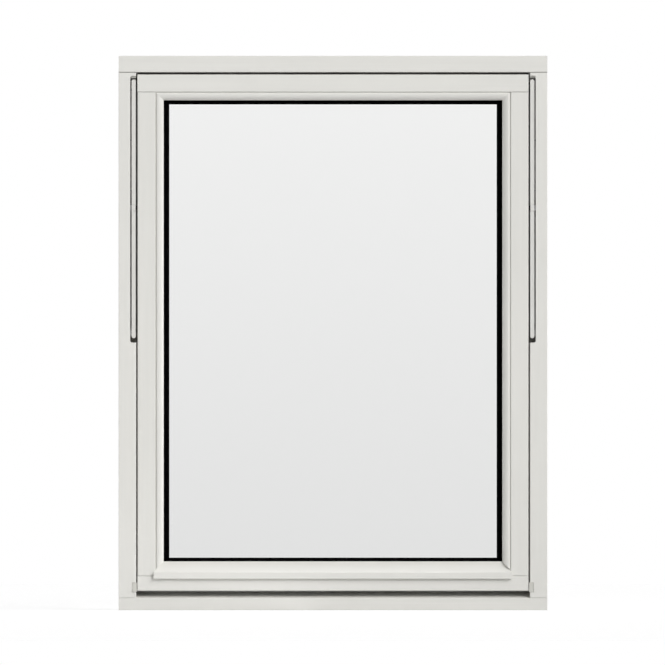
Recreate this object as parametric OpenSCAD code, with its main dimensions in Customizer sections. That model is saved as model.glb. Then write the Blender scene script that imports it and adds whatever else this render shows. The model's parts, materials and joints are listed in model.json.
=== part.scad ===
// Reversible pivot window: a timber sash hung on swing arms and guide rails in its frame.
// Millimetres. X runs across the window, Y into the room and Z up.
// The origin is the middle of the sill's underside.
// The sash foot swings out while two shoes near its top run down the guide rails,
// until the sash has turned over.

/* [Frame] */
// Overall width of the frame
frame_w = 990; // [700:10:1400]
// Overall height of the frame
frame_h = 1280; // [1000:10:1700]
// Depth of the frame, from its outer face to the room
frame_d = 115; // [105:1:150]
// Width of a jamb's outer face
jamb_w = 40.5; // [36:0.5:60]
// Height of the head's outer face
head_h = 38; // [30:0.5:60]
// Height of the sill's front edge
sill_front_h = 28; // [22:0.5:45]
// Rise of the sill's weathered top up to its stop
sill_rise = 13; // [8:0.5:14]
// How far the jamb stops lap the sash
jamb_lap = 13; // [11:0.5:18]
// How far the head stop laps the sash
head_lap = 26; // [25:0.5:34]
// How far the sill stop laps the sash
sill_lap = 13; // [11:0.5:14]
// Diameter of the wall fixing holes
fixing_d = 10; // [8:0.5:12]
// Height of the lower wall fixings above the sill's underside
fixing_z = 190; // [150:5:260]
// Distance of the wall fixings from the room face
fixing_inset = 26; // [20:1:32]

/* [Sash] */
// Gap between the sash and each jamb
side_gap = 3; // [2.5:0.5:4]
// Gap between the sash and the head
head_gap = 5; // [4:0.5:8]
// Height of the sash underside above the sill's front edge
sash_lift = 17; // [17:0.5:24]
// Set-back of the sash behind the frame's outer face
sash_setback = 2; // [1:0.5:5]
// Width of a stile's flat outer face
stile_w = 41; // [36:0.5:60]
// Height of the top rail's flat outer face
top_rail_h = 40; // [36:0.5:60]
// Height of the bottom rail's flat outer face
bottom_rail_h = 34; // [32:0.5:50]
// Thickness of the timber behind the glass
flange_t = 15; // [12:0.5:20]
// Gap between the sash and the frame's stops, filled by the sash seal
seal_gap = 6; // [6:0.5:8]
// Radius of the softened timber edges
edge_r = 2; // [1:0.5:3]

/* [Glazing] */
// Width of a glazing bead
bead_w = 19.5; // [16:0.5:26]
// Depth of a glazing bead
bead_d = 12; // [10:0.5:16]
// Height of the drip bead above the bottom rail
drip_h = 33.5; // [31:0.5:44]
// How far the drip bead's nose stands out from the sash
drip_proud = 8; // [6:0.5:12]
// Thickness of a pane
pane_t = 4; // [3:0.5:6]
// Width of the cavity between the panes
cavity = 16; // [12:1:20]
// Thickness of each glazing seal
glazing_seal_t = 3; // [2:0.5:4]
// How far the timber covers the glass edge
edge_cover = 14; // [12:0.5:15]
// Black edge of the glass seen beside the stiles
band_side = 12.7; // [8:0.1:16]
// Black edge of the glass seen below the top rail
band_top = 9.2; // [6:0.1:14]
// Black edge of the glass seen above the drip bead
band_foot = 8.4; // [6:0.1:14]
// Width of the sealant round the glass edge
sealant_w = 5; // [4:0.5:7]
// Thickness of the setting blocks under the glass
block_t = 5.5; // [4:0.5:7]
// Length of a setting block
block_l = 80; // [60:5:120]

/* [Swing gear] */
// Depth of the pivot line behind the frame's outer face
pivot_depth = 14; // [13:0.5:16]
// Drop of the guide shoe's pivot below the sash top
shoe_drop = 20; // [19:0.5:22]
// Length of a guide shoe
shoe_l = 18; // [17:0.5:20]
// Width of a guide shoe
shoe_w = 9.4; // [8.6:0.1:10]
// Thickness of a guide shoe
shoe_t = 5.4; // [5:0.1:5.6]
// Radius of the shoe's pin
shoe_pin_r = 3; // [2.5:0.1:3.4]
// Thickness of a guide rail
rail_t = 9.4; // [8.6:0.1:10]
// Thickness of a swing arm
arm_t = 2.5; // [2.2:0.1:2.8]
// Width of a swing arm
arm_w = 16; // [14:0.5:18]
// Radius of a swing arm's round ends
arm_end_r = 9; // [8:0.5:9.5]
// Radius of the arm's pivot pins
arm_pin_r = 4.5; // [4:0.1:5]
// Thickness of the plate let into the sash's side
bracket_t = 3; // [2.5:0.5:4]
// Width of that plate
bracket_w = 20; // [18:0.5:24]
// Running clearance of a pin in its bore
pin_clear = 0.05; // [0.03:0.01:0.08]

/* [Lock] */
// Height of the handle's axis above the sash underside
handle_rise = 30; // [29.5:0.25:31]
// Module of the lock's rack teeth
tooth_module = 1.5; // [1.4:0.05:1.5]
// Thickness of the rods and the pinion
rod_t = 6; // [5:0.5:7]
// Height of a lock rod
rod_h = 8; // [7:0.5:8]
// Thickness of the lock's face plate
faceplate_t = 3; // [2:0.5:3]
// Length of the handle's lever from its axis
lever_l = 118; // [90:2:150]
// How far the lever stands off the sash
lever_standoff = 34; // [30:1:45]
// Side of the square spindle
spindle_w = 7; // [6:0.5:8]

/* [Hidden] */
$fn = 48;

paint = [0.87, 0.865, 0.845];
white_metal = [0.88, 0.88, 0.86];
zinc = [0.72, 0.73, 0.74];
dark = [0.02, 0.02, 0.02];
nylon = [0.8, 0.8, 0.77];
glass = [0.88, 0.92, 0.91, 0.35];

// Faces of the frame
front = -frame_d / 2;
back = frame_d / 2;
jamb_x = frame_w / 2 - jamb_w;
head_z = frame_h - head_h;

// Sash box
sash_t = bead_d + 2 * glazing_seal_t + 2 * pane_t + cavity + flange_t;
sash_x = jamb_x - side_gap;
sash_z0 = sill_front_h + sash_lift;
sash_z1 = head_z - head_gap;
sash_y0 = front + sash_setback;
sash_y1 = sash_y0 + sash_t;

// Fine groove at each corner joint
joint_w = 0.8;
joint_d = 8;

// Stops of the frame
stop_y = sash_y1 + seal_gap;
stop_x = sash_x - jamb_lap;
head_stop_z = sash_z1 - head_lap;
sill_stop_z = sash_z0 + sill_lap;

// Glazing rebate: its walls, the sight lines and the glass edges
wall_x = sash_x - stile_w;
wall_z0 = sash_z0 + bottom_rail_h;
wall_z1 = sash_z1 - top_rail_h;
sight_x = wall_x - bead_w;
sight_z0 = wall_z0 + drip_h;
sight_z1 = wall_z1 - bead_w;
glass_x = sight_x + edge_cover;
glass_z0 = sight_z0 - edge_cover;
glass_z1 = sight_z1 + edge_cover;
platform_z = glass_z0 - block_t;
bead_y = sash_y0 + bead_d;
pane_y = bead_y + glazing_seal_t;
unit_y = pane_y + 2 * pane_t + cavity;
flange_y = unit_y + glazing_seal_t;
step_depth = 8;
step_y = sash_y0 + step_depth;

// Pivots: the arm's on the jamb, the arm's on the sash, and the shoe's, all on one upright line
pivot_y = front + pivot_depth;
shoe_z = sash_z1 - shoe_drop;
arm_z = (sash_z0 + sash_z1) / 2;
arm_l = (shoe_z - arm_z) / 2;
hang_z = arm_z + arm_l;

// Slot in the jamb, with the rail on the sash side and the arm behind it
rail_inset = 1;
arm_gap = 0.3;
slot_play = 0.5;
rail_x0 = jamb_x + rail_inset;
rail_x1 = rail_x0 + rail_t;
arm_x0 = rail_x1 + arm_gap;
arm_x1 = arm_x0 + arm_t;
slot_x = arm_x1 + slot_play;
slot_below = 23;
slot_z0 = arm_z - slot_below;
slot_above = 17;
slot_z1 = shoe_z + slot_above;
slot_corner_r = 4;
slot_arm_top = 20;
slot_rail_top = 3.5;
slot_head_d = 9;
arm_offset = pivot_depth + 1;
arm_play = 2;
slot_y = pivot_y + arm_offset + arm_w + arm_play;
rail_play = 0.5;
rail_setback = 2;
rail_y0 = front + rail_setback;
rail_back = 12;
rail_y1 = pivot_y + rail_back;
rail_below = 13;
rail_z0 = arm_z - rail_below;
rail_above = 8.5;
rail_z1 = shoe_z + rail_above;
shoe_play = 0.4;
shoe_lift = 0.8;
groove_half = shoe_w / 2 + shoe_play;
groove_x = rail_x0 + shoe_t;
groove_play = 0.4;
shoe_x0 = rail_x0 - shoe_lift;
shoe_x1 = shoe_x0 + shoe_t;
rail_screw_r = 2;
rib_d = 5;
rib_end = 12;
rail_screw_l = 24;
rail_fix_low = 40;
rail_fix_top = 24;
rail_fix_z0 = hang_z + rail_fix_low;
rail_fix_z1 = rail_z1 - rail_fix_top;
rail_fix = [for (i = [0:2]) rail_fix_z0 + (rail_fix_z1 - rail_fix_z0) * i / 2];
pin_seat = 16;
pin_end_x = slot_x + pin_seat;

// Plug on the arm's upper pin, which fills the rail's notch while the sash is shut
plug_wall = 2.5;
plug_half = arm_pin_r + plug_wall;
plug_play = 0.45;
plug_play_top = 0.3;
plug_inset = 0.2;

// Plate on the sash's side
bracket_x = sash_x - bracket_t;
bracket_y0 = pivot_y - 8.5;
bracket_y1 = bracket_y0 + bracket_w;
bracket_tail = 44;
bracket_head = 10;
bracket_z0 = hang_z - bracket_tail;
bracket_z1 = shoe_z + bracket_head;
bracket_fix_n = 4;
bracket_fix_step = (wall_z1 - hang_z) / (bracket_fix_n - 0.8);
bracket_fix_low = 28;
bracket_fix = [for (i = [0:bracket_fix_n - 1]) hang_z - bracket_fix_low + bracket_fix_step * i];
bracket_screw_r = 2;
bracket_screw_l = 26;

// Catch at the foot of each jamb, where the shoe lands when the sash is turned over
catch_proud = 1.6;
catch_t = 9;
catch_joint = 0.7;
catch_y0 = front + 0.5;
catch_y1 = pivot_y + 11;
catch_z0 = sash_z0 - 3;
catch_z1 = catch_z0 + 22.5;
catch_floor = catch_z1 - 10;
catch_screw_z = catch_z0 + 5.5;
catch_screw_r = 2;
catch_screw_l = 26;

// Lock: two rods driven by a pinion between two racks
lock_inset = 22.8;
lock_y = sash_y1 - lock_inset;
handle_z = sash_z0 + handle_rise;
pinion_teeth = 12;
pinion_r = tooth_module * pinion_teeth / 2;
pressure_angle = 25;
backlash = 0.3;
tooth_tip = 0.93 * tooth_module;
tooth_root = 1.25 * tooth_module;
rack_pitch = PI * tooth_module;
rack_back = 3;
throw = pinion_r * PI / 2;
rod_gap = 1;
rod_z0 = sash_z0 + faceplate_t + rod_gap;
rod_z1 = rod_z0 + rod_h;
rod_tip_x = sash_x - 1;
mesh_half = sqrt(pow(pinion_r + tooth_tip, 2) - pow(pinion_r - tooth_tip, 2)) + 0.5;
rack_reach = throw + mesh_half;
rod_leg_w = 7;
rod_leg_x0 = rack_reach + 3;
rod_leg_x1 = rod_leg_x0 + rod_leg_w;
case_wall = 2;
case_play = 0.5;
case_x = rod_leg_x1 + throw + case_play + case_wall;
case_y = rod_t / 2 + case_play + case_wall;
case_z0 = rod_z1 + rod_gap;
case_z1 = handle_z + pinion_r + tooth_root + rack_back + case_play + case_wall;
faceplate_w = 22;
faceplate_x = sash_x - 2;
faceplate_screw_r = 1.5;
faceplate_screw_l = 14;
faceplate_screw_edge = 3.4;
faceplate_screw_y = lock_y + faceplate_w / 2 - faceplate_screw_edge;
faceplate_fix_end = 30;
faceplate_fix_run = faceplate_x - case_x - 2 * faceplate_fix_end;
faceplate_fix = [for (i = [0:2]) case_x + faceplate_fix_end + faceplate_fix_run * i / 2];
keep_t = 3;
keep_w = 22;
keep_h = 42;
keep_under = 6;
keep_z0 = rod_z0 - keep_under;
keep_z1 = keep_z0 + keep_h;
keep_hole_play = 1;
keep_depth = throw + 6;
keep_screw_r = 2;
keep_screw_l = 22;
keep_fix = [keep_z1 - 16, keep_z1 - 6];

// Handle
rosette_t = 9;
rosette_w = 70;
rosette_h = 28;
rosette_fix_x = 25;
rosette_screw_r = 2;
rosette_screw_l = 16;
neck_r = 9;
lever_t = 12;
lever_tip_r = 7;
spindle_hole_r = spindle_w * 0.5 * sqrt(2) + 0.4;
spindle_y1 = sash_y1 + lever_standoff + lever_t / 2;

// Seal on the sash's inner face
seal_w = 7;
seal_play = 0.5;
seal_joint = 0.1;
seal_h = seal_gap - seal_play;
seal_x = sash_x - 3;
seal_z0 = sash_z0 + 3;
seal_z1 = shoe_z + seal_w / 2;

// Fixings of the frame
frame_screw_r = 3;
frame_screw_l = 90;
frame_screw_side = 14;
frame_screw_edge = 25;
frame_screw_x = frame_w / 2 - frame_screw_side;
frame_screw_y = [front + frame_screw_edge, back - frame_screw_edge];
cap_t = 3;
cap_r = fixing_d / 2 + 3;
fixing_y = back - fixing_inset;
fixing_spots = [fixing_z, frame_h - fixing_z];
screw_clear = 0.02;
tube_clear = 0.03;

function unit(v) = v / norm(v);
function corner(p0, p1, p2, r, n) =
    r <= 0 ? [p1] :
    let (
        a = unit(p0 - p1),
        b = unit(p2 - p1),
        half = acos(a * b) / 2,
        c = p1 + unit(a + b) * r / sin(half),
        s = p1 + a * r / tan(half) - c,
        e = p1 + b * r / tan(half) - c,
        a0 = atan2(s.y, s.x),
        turn = atan2(e.y, e.x) - a0,
        sweep = turn > 180 ? turn - 360 : turn < -180 ? turn + 360 : turn
    )
    [for (i = [0:n]) c + r * [cos(a0 + sweep * i / n), sin(a0 + sweep * i / n)]];
// Outline with each corner turned to its own radius
function rounded(pts, radii, n = 4) = [
    for (i = [0:len(pts) - 1])
        each corner(pts[(i + len(pts) - 1) % len(pts)], pts[i], pts[(i + 1) % len(pts)], radii[i], n)
];

// Involute tooth: half angle of the tooth at radius r
function inv(angle) = tan(angle) * 180 / PI - angle;
function tooth_half(r) =
    (180 / pinion_teeth - backlash / pinion_r * 180 / PI) / 2
    + inv(pressure_angle) - inv(acos(min(1, pinion_r * cos(pressure_angle) / r)));
function polar(r, a) = r * [cos(a), sin(a)];

// A drawn section carried along X, Y or Z; across X the section is (y, z), across Y it is (x, z)
module bar_x(x0, x1) translate([x0, 0, 0]) rotate([90, 0, 90]) linear_extrude(height = x1 - x0) children();
module bar_y(y0, y1) translate([0, y1, 0]) rotate([90, 0, 0]) linear_extrude(height = y1 - y0) children();
module bar_z(z0, z1) translate([0, 0, z0]) linear_extrude(height = z1 - z0) children();
module box(lo, hi) translate(lo) cube(hi - lo);
module rod_y(x, z, y0, y1, r) translate([x, y1, z]) rotate([90, 0, 0]) cylinder(h = y1 - y0, r = r);
module rod_x(y, z, x0, x1, r) translate([x0, y, z]) rotate([0, 90, 0]) cylinder(h = x1 - x0, r = r);
module mirrored() mirror([1, 0, 0]) children();
module pair() {
    children();
    mirrored() children();
}

// Edge sections (u, y) run down a side, along the top or along the foot; u points to the glass
module side_run(x, z0, z1) bar_z(z0, z1) translate([x, 0]) mirror([1, 0]) children();
module top_run(z, x) bar_x(-x, x) translate([0, z]) rotate(-90) children();
module foot_run(z, x) bar_x(-x, x) translate([0, z]) mirror([0, 1]) rotate(-90) children();

// Countersunk screw, drawn along +Z from its head; clear > 0 makes its hole
module screw(r, length, clear = 0) {
    cylinder(h = r, r1 = 2 * r + clear, r2 = r + clear);
    cylinder(h = length + clear, r = r + clear);
    if (clear > 0) translate([0, 0, -1]) cylinder(h = 1, r = 2 * r + clear);
}

// Flat ring round the glass
module glass_ring(y0, y1, outer, inner) {
    difference() {
        box([-outer[0], y0, outer[1]], [outer[0], y1, outer[2]]);
        box([-inner[0], y0 - 1, inner[1]], [inner[0], y1 + 1, inner[2]]);
    }
}

module head_section() {
    polygon(rounded(
        [[front, head_z], [front, frame_h], [back, frame_h], [back, head_stop_z],
         [stop_y, head_stop_z], [stop_y, head_z]],
        edge_r * [1, 0.5, 0.5, 1.5, 0.5, 0]));
}

module sill_section() {
    polygon(rounded(
        [[front, 0], [back, 0], [back, sill_stop_z], [stop_y, sill_stop_z],
         [stop_y, sill_front_h + sill_rise], [front, sill_front_h]],
        edge_r * [0.5, 0.5, 1.5, 0.5, 0, 0.4]));
}

// Sharp sections that the jambs are coped to, carried past the frame's outside
cope_over = 5;
sill_slope = sill_rise / (stop_y - front);

module head_cope() {
    polygon([[front - cope_over, head_z], [front - cope_over, frame_h + cope_over],
        [back + cope_over, frame_h + cope_over], [back + cope_over, head_stop_z],
        [stop_y, head_stop_z], [stop_y, head_z]]);
}

module sill_cope() {
    polygon([[front - cope_over, -cope_over], [back + cope_over, -cope_over],
        [back + cope_over, sill_stop_z], [stop_y, sill_stop_z],
        [stop_y, sill_front_h + sill_rise], [front - cope_over, sill_front_h - sill_slope * cope_over]]);
}

module sill_joint() {
    near = sill_front_h - sill_slope;
    far = sill_front_h + sill_slope * joint_d;
    polygon([[front - 1, near - 1], [front + joint_d, far - 1],
        [front + joint_d, far + joint_w], [front - 1, near + joint_w]]);
}

module jamb_section() {
    polygon(rounded(
        [[frame_w / 2, front], [frame_w / 2, back], [stop_x, back],
         [stop_x, stop_y], [jamb_x, stop_y], [jamb_x, front]],
        edge_r * [0.5, 0.5, 1.5, 0.5, 0, 1]));
}

module frame_screw_set(clear = 0) {
    pair() for (y = frame_screw_y) {
        translate([frame_screw_x, y, 0]) screw(frame_screw_r, frame_screw_l, clear);
        translate([frame_screw_x, y, frame_h]) mirror([0, 0, 1]) screw(frame_screw_r, frame_screw_l, clear);
    }
}

module rail_screw_set(clear = 0) {
    for (z = rail_fix)
        translate([groove_x, pivot_y, z]) rotate([0, 90, 0]) screw(rail_screw_r, rail_screw_l, clear);
}

module catch_screw_set(clear = 0) {
    translate([jamb_x - catch_proud, pivot_y, catch_screw_z]) rotate([0, 90, 0])
        screw(catch_screw_r, catch_screw_l, clear);
}

module keep_screw_set(clear = 0) {
    for (z = keep_fix)
        translate([jamb_x, lock_y, z]) rotate([0, 90, 0]) screw(keep_screw_r, keep_screw_l, clear);
}

module bracket_screw_set(clear = 0) {
    for (z = bracket_fix)
        translate([sash_x, pivot_y, z]) rotate([0, -90, 0]) screw(bracket_screw_r, bracket_screw_l, clear);
}

module faceplate_screw_set(clear = 0) {
    pair() for (x = faceplate_fix)
        translate([x, faceplate_screw_y, sash_z0]) screw(faceplate_screw_r, faceplate_screw_l, clear);
}

module rosette_screw_set(clear = 0) {
    pair() translate([rosette_fix_x, sash_y1 + rosette_t, handle_z]) rotate([90, 0, 0])
        screw(rosette_screw_r, rosette_screw_l, clear);
}

module frame_head() {
    color(paint) difference() {
        bar_x(-frame_w / 2, frame_w / 2) head_section();
        frame_screw_set(screw_clear);
    }
}

module frame_sill() {
    color(paint) difference() {
        bar_x(-frame_w / 2, frame_w / 2) sill_section();
        frame_screw_set(screw_clear);
    }
}

// Slot open to the outside and to the sash: deep for the arm, less deep for the rail above it
// and shallow over the rail's end
module slot_cut(depth, z0, z1, foot_r, head_r) {
    bar_y(front - 1, depth) polygon(rounded(
        [[jamb_x - 1, z0], [slot_x, z0], [slot_x, z1], [jamb_x - 1, z1]], [0, foot_r, head_r, 0]));
}

module jamb_slot() {
    slot_cut(slot_y, slot_z0, hang_z + slot_arm_top, slot_corner_r, 0);
    slot_cut(rail_y1 + rail_play, hang_z, rail_z1 + slot_rail_top, 0, 0);
    slot_cut(front + slot_head_d, hang_z, slot_z1, 0, slot_corner_r);
}

module jamb() {
    difference() {
        bar_z(0, frame_h) jamb_section();
        bar_x(0, frame_w) head_cope();
        bar_x(0, frame_w) sill_cope();
        // Fine grooves at the corner joints
        box([stop_x - 1, front - 1, head_z - joint_w], [frame_w, front + joint_d, head_z + 1]);
        bar_x(stop_x - 1, frame_w) sill_joint();
        jamb_slot();
        // Groove that takes the shoe below the slot
        box([jamb_x - 1, pivot_y - groove_half, catch_z1 - 1],
            [groove_x + groove_play, pivot_y + groove_half, slot_z0 + 1]);
        box([jamb_x - 1, front - 1, catch_z0 - catch_joint],
            [jamb_x + catch_t + catch_joint, catch_y1, catch_z1]);
        box([jamb_x - 1, lock_y - keep_w / 2, keep_z0], [jamb_x + keep_t, lock_y + keep_w / 2, keep_z1]);
        box([jamb_x, lock_y - rod_t / 2 - keep_hole_play, rod_z0 - keep_hole_play],
            [jamb_x + keep_depth, lock_y + rod_t / 2 + keep_hole_play, rod_z1 + keep_hole_play]);
        rod_x(pivot_y, arm_z, slot_x - 1, pin_end_x, arm_pin_r + tube_clear);
        rail_screw_set(screw_clear);
        catch_screw_set(screw_clear);
        keep_screw_set(screw_clear);
        frame_screw_set(screw_clear);
        for (z = fixing_spots) {
            rod_x(fixing_y, z, stop_x - 1, frame_w / 2 + 1, fixing_d / 2);
            rod_x(fixing_y, z, stop_x - 1, stop_x + cap_t, cap_r + screw_clear);
        }
    }
}

module frame_jamb_right() color(paint) jamb();
module frame_jamb_left() color(paint) mirrored() jamb();
module frame_screws() color(zinc) frame_screw_set();

module fixing_caps() {
    color(paint) pair() for (z = fixing_spots) rod_x(fixing_y, z, stop_x, stop_x + cap_t, cap_r);
}

// Grooved rail with round ends, a rib on the slot's wall and a notch where the arm's pin passes
module guide_rail() {
    difference() {
        union() {
            bar_y(rail_y0, rail_y1) polygon(rounded(
                [[rail_x0, rail_z0], [rail_x1, rail_z0], [rail_x1, rail_z1], [rail_x0, rail_z1]],
                rail_t * 0.45 * [1, 1, 1, 1]));
            box([rail_x1 - 1, rail_y1 - rib_d, rail_fix_z0 - rib_end], [slot_x, rail_y1, rail_z1 - rib_end]);
        }
        box([rail_x0 - 1, pivot_y - groove_half, rail_z0 - 1],
            [groove_x, pivot_y + groove_half, rail_z1 + 1]);
        box([rail_x0 - 1, rail_y0 - 1, hang_z - plug_half - plug_play],
            [rail_x1 + 1, pivot_y + plug_half + plug_play, hang_z + plug_half + plug_play_top]);
        rod_x(pivot_y, arm_z, groove_x - 1, rail_x1 + 1, arm_pin_r + tube_clear);
        rail_screw_set(screw_clear);
    }
}

module guide_rail_right() color(white_metal) guide_rail();
module guide_rail_left() color(white_metal) mirrored() guide_rail();
module rail_screws() color(zinc) pair() rail_screw_set();

module arm_pivot_pins() {
    color(zinc) pair() rod_x(pivot_y, arm_z, groove_x + 0.5, pin_end_x, arm_pin_r);
}

// Block with a socket that is open at its top for the shoe
module foot_catch() {
    difference() {
        bar_y(catch_y0, catch_y1) polygon(rounded(
            [[jamb_x - catch_proud, catch_z0], [jamb_x + catch_t, catch_z0],
             [jamb_x + catch_t, catch_z1], [jamb_x - catch_proud, catch_z1]], [1, 0, 0, 1]));
        box([jamb_x - catch_proud - 1, pivot_y - groove_half, catch_floor],
            [groove_x + groove_play, pivot_y + groove_half, catch_z1 + 1]);
        catch_screw_set(screw_clear);
    }
}

module foot_catch_right() color(nylon) foot_catch();
module foot_catch_left() color(nylon) mirrored() foot_catch();
module catch_screws() color(zinc) pair() catch_screw_set();

module lock_keep() {
    difference() {
        box([jamb_x, lock_y - keep_w / 2, keep_z0], [jamb_x + keep_t, lock_y + keep_w / 2, keep_z1]);
        box([jamb_x - 1, lock_y - rod_t / 2 - keep_hole_play, rod_z0 - keep_hole_play],
            [jamb_x + keep_t + 1, lock_y + rod_t / 2 + keep_hole_play, rod_z1 + keep_hole_play]);
        keep_screw_set(screw_clear);
    }
}

module lock_keep_right() color(zinc) lock_keep();
module lock_keep_left() color(zinc) mirrored() lock_keep();
module keep_screws() color(zinc) pair() keep_screw_set();

// Arm blade set back from its pivot line, so that it lies in front of the jamb when the sash is
// turned over. Its outline is drawn as (y, z) from the pivot on the jamb.
arm_rise = 14;
arm_knee_r = 8;
arm_inner_r = 4;
arm_cap_r = arm_end_r * 0.97;
arm_run = unit([arm_offset + arm_w / 2, arm_rise]);
arm_side = [-arm_run.y, arm_run.x];
function line_at(p, d, y) = p + d * (y - p.x) / d.x;
function far_end(p) = [p.x, arm_l - p.y];
arm_inner = line_at(arm_end_r * arm_side, arm_run, arm_offset);
arm_outer = line_at(-arm_end_r * arm_side, arm_run, arm_offset + arm_w);
arm_foot = [for (s = [-1, 1]) arm_end_r * (s * arm_side - arm_run)];

module arm_outline() {
    polygon(rounded(
        [arm_foot[0], arm_outer, far_end(arm_outer), far_end(arm_foot[0]),
         far_end(arm_foot[1]), far_end(arm_inner), arm_inner, arm_foot[1]],
        [arm_cap_r, arm_knee_r, arm_knee_r, arm_cap_r, arm_cap_r, arm_inner_r, arm_inner_r, arm_cap_r], 8));
}

module swing_arm() {
    difference() {
        bar_x(arm_x0, arm_x1) translate([pivot_y, arm_z]) arm_outline();
        for (z = [arm_z, hang_z]) rod_x(pivot_y, z, arm_x0 - 1, arm_x1 + 1, arm_pin_r + pin_clear);
    }
}

module swing_arm_right() color(zinc) swing_arm();
module swing_arm_left() color(zinc) mirrored() swing_arm();

// Pocket in the sash's side for the plate that carries the pins
module bracket_pocket() {
    pair() {
        box([bracket_x, bracket_y0, bracket_z0], [sash_x + 1, bracket_y1, bracket_z1]);
        bracket_screw_set(screw_clear);
    }
}

module sash_top_rail() {
    color(paint) difference() {
        union() {
            bar_x(-sash_x, sash_x) polygon(rounded(
                [[sash_y0, wall_z1], [sash_y0, sash_z1], [sash_y1, sash_z1], [sash_y1, wall_z1]],
                edge_r * [0.3, 1, 1, 0]));
            bar_x(-sight_x, sight_x) polygon(rounded(
                [[flange_y, wall_z1], [sash_y1, wall_z1], [sash_y1, sight_z1], [flange_y, sight_z1]],
                edge_r * [0, 0, 1.5, 0.3]));
        }
        bracket_pocket();
    }
}

// Cut-outs for the lock: a channel for the rods, the face plate's rebate, the case and the spindle
module lock_cuts() {
    box([-sash_x - 1, lock_y - rod_t / 2 - case_play, sash_z0 - 1],
        [sash_x + 1, lock_y + rod_t / 2 + case_play, case_z0]);
    box([-faceplate_x, lock_y - faceplate_w / 2, sash_z0 - 1],
        [faceplate_x, lock_y + faceplate_w / 2, sash_z0 + faceplate_t]);
    box([-case_x, lock_y - case_y, sash_z0], [case_x, lock_y + case_y, case_z1]);
    rod_y(0, handle_z, lock_y, sash_y1 + 1, neck_r - 2);
    faceplate_screw_set(screw_clear);
    rosette_screw_set(screw_clear);
}

module sash_bottom_rail() {
    color(paint) difference() {
        union() {
            bar_x(-sash_x, sash_x) polygon(rounded(
                [[sash_y0, sash_z0], [sash_y1, sash_z0], [sash_y1, wall_z0], [sash_y0, wall_z0]],
                edge_r * [0.3, 1, 0, 0.3]));
            bar_x(-wall_x, wall_x) polygon(
                [[step_y, wall_z0], [flange_y, wall_z0], [flange_y, platform_z], [step_y, platform_z]]);
            bar_x(-sight_x, sight_x) polygon(rounded(
                [[flange_y, wall_z0], [sash_y1, wall_z0], [sash_y1, sight_z0], [flange_y, sight_z0]],
                edge_r * [0, 0, 1.5, 0.3]));
        }
        lock_cuts();
    }
}

module sash_stile() {
    difference() {
        bar_z(wall_z0, wall_z1) polygon(rounded(
            [[sash_x, sash_y0], [sash_x, sash_y1], [sight_x, sash_y1],
             [sight_x, flange_y], [wall_x, flange_y], [wall_x, sash_y0]],
            edge_r * [1, 1, 1.5, 0.3, 0, 0.5]));
        bracket_pocket();
        box([wall_x - 1, sash_y0 - 1, wall_z0 - 1], [sash_x + 1, sash_y0 + joint_d, wall_z0 + joint_w]);
        box([wall_x - 1, sash_y0 - 1, wall_z1 - joint_w], [sash_x + 1, sash_y0 + joint_d, wall_z1 + 1]);
    }
}

module sash_stile_right() color(paint) sash_stile();
module sash_stile_left() color(paint) mirrored() sash_stile();

// Bead section (u, y): a quirk beside the timber, a round crest and a fall to the glass
bead_quirk = 1.5;
bead_crest = bead_w * 0.25;
bead_lip = 3.5;
quirk_drop = 2.4;
quirk_depth = 3.2;

module bead_section() {
    fall = bead_d - bead_lip;
    polygon([
        [0, bead_y],
        [0, sash_y0 + quirk_depth],
        [bead_quirk, sash_y0 + quirk_depth],
        for (i = [0:5]) let (t = i / 5, s = sin(90 * t))
            [bead_quirk + (bead_crest - bead_quirk) * s, sash_y0 + quirk_drop * (1 - s) * (1 - t / 2)],
        for (i = [1:10]) let (a = 9 * i)
            [bead_crest + (bead_w - bead_crest) * sin(a), sash_y0 + fall * (1 - cos(a))],
        [bead_w, bead_y],
    ]);
}

module glazing_bead_top() {
    color(paint) intersection() {
        top_run(wall_z1, wall_x) bead_section();
        bar_y(sash_y0 - 1, bead_y + 1) polygon(
            [[-wall_x, wall_z1], [wall_x, wall_z1], [sight_x, sight_z1], [-sight_x, sight_z1]]);
    }
}

module glazing_bead_side() {
    intersection() {
        side_run(wall_x, wall_z0, wall_z1) bead_section();
        bar_y(sash_y0 - 1, bead_y + 1) polygon(
            [[wall_x, wall_z1], [sight_x, sight_z1], [sight_x, sight_z0], [wall_x, sight_z0 - bead_w]]);
    }
}

module glazing_bead_right() color(paint) glazing_bead_side();
module glazing_bead_left() color(paint) mirrored() glazing_bead_side();

// Drip bead: a hollow fall from the glass to a nose that stands out from the bottom rail
nose_y = sash_y0 - drip_proud;
nose_top = wall_z0 + 8;
nose_foot = wall_z0 - 6.5;
nose_over = 3.5;

module drip_section() {
    polygon([
        [bead_y, platform_z],
        [bead_y, sight_z0],
        for (i = [0:8]) let (a = 10 * i)
            [nose_y + (bead_y - bead_lip - nose_y) * cos(a), sight_z0 - (sight_z0 - nose_top) * sin(a)],
        [nose_y + 0.8, nose_top - 0.2],
        [nose_y, nose_top - 1.4],
        [nose_y, nose_foot + 0.6],
        [nose_y + 0.6, nose_foot],
        [nose_y + 2.5, nose_foot],
        [nose_y + 3.2, nose_foot + 2],
        [sash_y0, nose_foot + 2.6],
        [sash_y0, wall_z0],
        [step_y, wall_z0],
        [step_y, platform_z],
    ]);
}

module drip_bead() {
    color(paint) difference() {
        union() {
            bar_x(-wall_x, wall_x) drip_section();
            intersection() {
                bar_x(-wall_x - nose_over, wall_x + nose_over) drip_section();
                box([-sash_x, nose_y - 1, nose_foot - 1], [sash_x, sash_y0, sight_z0]);
            }
        }
        // Mitre against the side beads
        pair() bar_y(nose_y - 1, bead_y + 1) polygon(
            [[sight_x, sight_z0], [sight_x + 2 * bead_w, sight_z0 - 2 * bead_w],
             [sight_x + 2 * bead_w, sight_z0 + 1], [sight_x, sight_z0 + 1]]);
    }
}

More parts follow.
